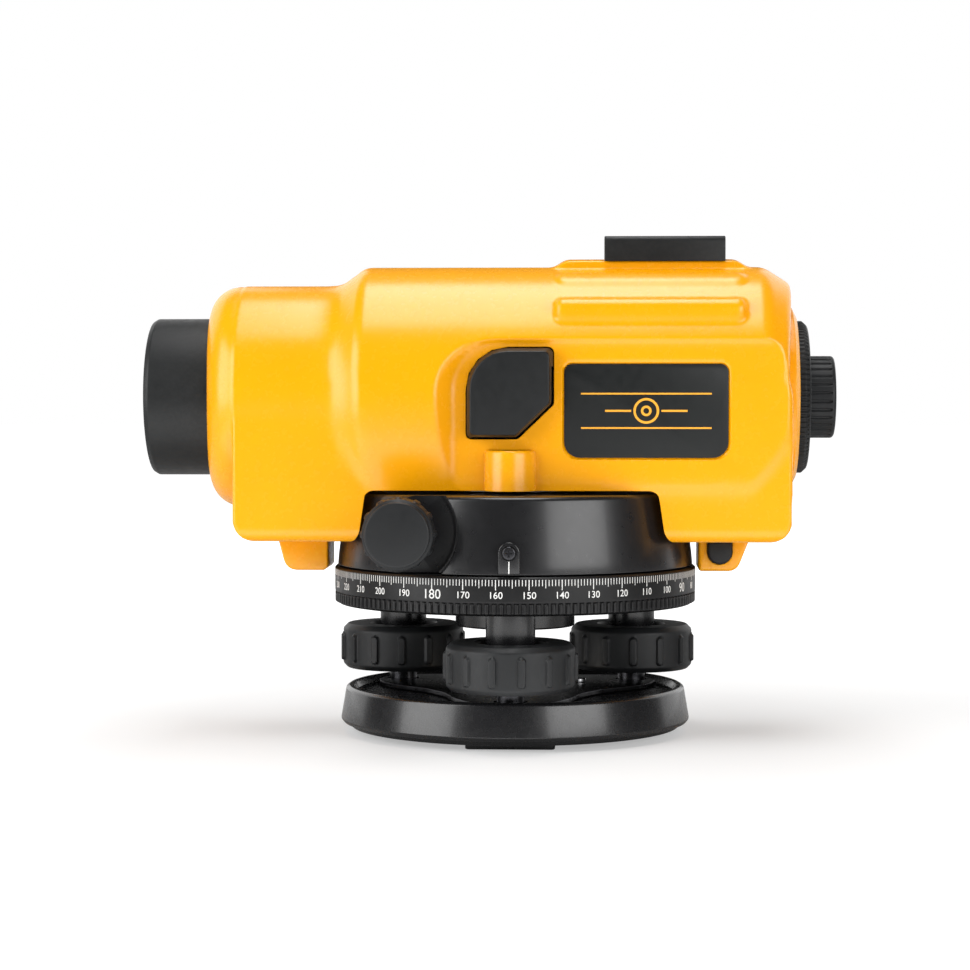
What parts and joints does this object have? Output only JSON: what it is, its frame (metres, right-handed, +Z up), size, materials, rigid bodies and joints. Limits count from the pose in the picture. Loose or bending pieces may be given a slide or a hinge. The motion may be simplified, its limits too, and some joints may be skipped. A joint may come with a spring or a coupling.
{
  "type": "automatic level",
  "caption": "Surveyor's automatic level: yellow telescope with objective, eyepiece, sight and bubble hood, turning on a drum over a graduated circle, foot screws and a dished base plate.",
  "frame": {"origin": "on the plane the base's pads stand on, under the middle of the overall length; the vertical axis stands 6.9 mm along +X from it", "axes": "+Z up along the vertical axis, +X along the line of sight from objective to eyepiece, +Y towards the focusing knob's side"},
  "size_m": [0.2068, 0.124, 0.15],
  "materials": {
    "yellow_paint": "semi-gloss yellow paint on cast aluminium",
    "black_paint": "satin black paint on cast aluminium",
    "black_plastic": "matt moulded black",
    "plate_plastic": "satin black printed plate",
    "steel": "turned",
    "brass": "turned",
    "aluminium": "machined casting",
    "glass": "polished",
    "mirror": "polished"
  },
  "bodies": {
    "base": {"base_plate": "black_paint", "tripod_bush": "brass", "spring_plate": "steel", "spring_plate_screw_1": "steel", "spring_plate_screw_2": "steel", "spring_plate_screw_3": "steel", "front_foot_ball": "steel"},
    "rear_feet": {"rear_left_foot_ball": "steel", "rear_right_foot_ball": "steel"},
    "tribrach": {"tribrach": "black_paint", "vertical_axis": "steel"},
    "front_spindle": {"front_foot_spindle": "steel"},
    "front_knob": {"front_foot_knob": "black_plastic"},
    "rear_left_spindle": {"rear_left_foot_spindle": "steel"},
    "rear_left_knob": {"rear_left_foot_knob": "black_plastic"},
    "rear_right_spindle": {"rear_right_foot_spindle": "steel"},
    "rear_right_knob": {"rear_right_foot_knob": "black_plastic"},
    "circle": {"horizontal_circle": "black_paint"},
    "wheel": {"worm_wheel": "brass", "friction_washer": "steel"},
    "alidade": {"drum_housing": "black_paint", "bearing_bush": "brass", "index_pointer": "black_paint", "index_screw": "steel", "housing_left": "yellow_paint", "housing_right": "yellow_paint", "housing_screw_1": "steel", "housing_screw_2": "steel", "housing_screw_3": "steel", "housing_screw_4": "steel", "front_foot_block": "yellow_paint", "rear_foot_block": "yellow_paint", "open_sight": "black_plastic", "bubble_hood": "black_plastic", "bubble_mirror": "mirror", "vial_cup": "steel", "vial_glass": "glass", "name_plate": "plate_plastic", "telescope_chassis": "aluminium", "objective_barrel": "black_plastic", "objective_lens": "glass", "compensator_frame": "aluminium", "rear_bezel": "yellow_paint", "reticle_cover": "black_plastic", "reticle": "glass"},
    "tangent_drive": {"worm_shaft": "steel", "tangent_knob_left": "black_plastic", "tangent_knob_right": "black_plastic"},
    "focus_drive": {"focus_knob": "black_plastic", "focus_pinion": "steel"},
    "focusing_lens_cell": {"focusing_cell": "brass", "focusing_lens": "glass"},
    "pendulum": {"compensator_pendulum": "brass", "pendulum_prism": "glass"},
    "eyepiece": {"eyepiece_barrel": "aluminium", "eye_lens": "glass"},
    "diopter_ring": {"eyepiece_ring": "black_plastic"},
    "button": {"check_button": "black_plastic"}
  },
  "joints": [
    {"name": "level_pitch", "type": "hinge", "parent": "base", "child": "rear_feet", "pos_m": [0.0069, 0.02065, 0.0085], "axis": [1, 0, 0], "range_deg": [-1.5, 1.5]},
    {"name": "level_roll", "type": "hinge", "parent": "rear_feet", "child": "tribrach", "pos_m": [0.0069, 0.02065, 0.0085], "axis": [0, 1, 0], "range_deg": [-1.5, 1.5]},
    {"name": "front_foot_travel", "type": "slide", "parent": "tribrach", "child": "front_spindle", "axis": [0, 0, 1], "range_m": [-0.0017, 0.0017]},
    {"name": "front_foot_turn", "type": "hinge", "parent": "front_spindle", "child": "front_knob", "pos_m": [0.0069, -0.0413, 0.024], "axis": [0, 0, 1], "range_deg": [-800, 800]},
    {"name": "rear_left_foot_travel", "type": "slide", "parent": "tribrach", "child": "rear_left_spindle", "axis": [0, 0, 1], "range_m": [-0.0017, 0.0017]},
    {"name": "rear_left_foot_turn", "type": "hinge", "parent": "rear_left_spindle", "child": "rear_left_knob", "pos_m": [-0.02887, 0.02065, 0.024], "axis": [0, 0, 1], "range_deg": [-800, 800]},
    {"name": "rear_right_foot_travel", "type": "slide", "parent": "tribrach", "child": "rear_right_spindle", "axis": [0, 0, 1], "range_m": [-0.0017, 0.0017]},
    {"name": "rear_right_foot_turn", "type": "hinge", "parent": "rear_right_spindle", "child": "rear_right_knob", "pos_m": [0.04267, 0.02065, 0.024], "axis": [0, 0, 1], "range_deg": [-800, 800]},
    {"name": "circle_turn", "type": "hinge", "parent": "tribrach", "child": "circle", "pos_m": [0.0069, 0, 0.045], "axis": [0, 0, 1], "continuous": true},
    {"name": "coarse_turn", "type": "hinge", "parent": "tribrach", "child": "wheel", "pos_m": [0.0069, 0, 0.0628], "axis": [0, 0, 1], "continuous": true},
    {"name": "fine_turn", "type": "hinge", "parent": "wheel", "child": "alidade", "pos_m": [0.0069, 0, 0.0628], "axis": [0, 0, 1], "continuous": true},
    {"name": "worm_turn", "type": "hinge", "parent": "alidade", "child": "tangent_drive", "pos_m": [-0.0246, 0, 0.0628], "axis": [0, 1, 0], "continuous": true},
    {"name": "focus_turn", "type": "hinge", "parent": "alidade", "child": "focus_drive", "pos_m": [0.0069, 0.03, 0.094], "axis": [0, 1, 0], "range_deg": [-120, 120]},
    {"name": "focus_travel", "type": "slide", "parent": "alidade", "child": "focusing_lens_cell", "axis": [1, 0, 0], "range_m": [-0.0075, 0.0075]},
    {"name": "compensator_swing", "type": "hinge", "parent": "alidade", "child": "pendulum", "pos_m": [0.0479, 0, 0.1178], "axis": [0, 1, 0], "range_deg": [-0.5, 0.5]},
    {"name": "diopter_turn", "type": "hinge", "parent": "eyepiece", "child": "diopter_ring", "pos_m": [0.0969, 0, 0.1016], "axis": [1, 0, 0], "range_deg": [-180, 180]},
    {"name": "eyepiece_travel", "type": "slide", "parent": "alidade", "child": "eyepiece", "axis": [1, 0, 0], "range_m": [-0.0012, 0.0012]},
    {"name": "button_press", "type": "slide", "parent": "alidade", "child": "button", "axis": [0, 1, 0], "range_m": [0, 0.002], "stiffness_N_per_m": 300}
  ],
  "couplings": [
    {"joint": "front_foot_travel", "follows": "level_pitch", "m_per_rad": 0.06195},
    {"joint": "front_foot_turn", "follows": "level_pitch", "ratio": 518.99},
    {"joint": "rear_right_foot_travel", "follows": "level_roll", "m_per_rad": 0.035767},
    {"joint": "rear_right_foot_turn", "follows": "level_roll", "ratio": 299.64},
    {"joint": "rear_left_foot_travel", "follows": "level_roll", "m_per_rad": -0.035767},
    {"joint": "rear_left_foot_turn", "follows": "level_roll", "ratio": -299.64},
    {"joint": "worm_turn", "follows": "fine_turn", "ratio": -60},
    {"joint": "focus_turn", "follows": "focus_travel", "rad_per_m": 277.78},
    {"joint": "diopter_turn", "follows": "eyepiece_travel", "rad_per_m": 2617.8}
  ]
}
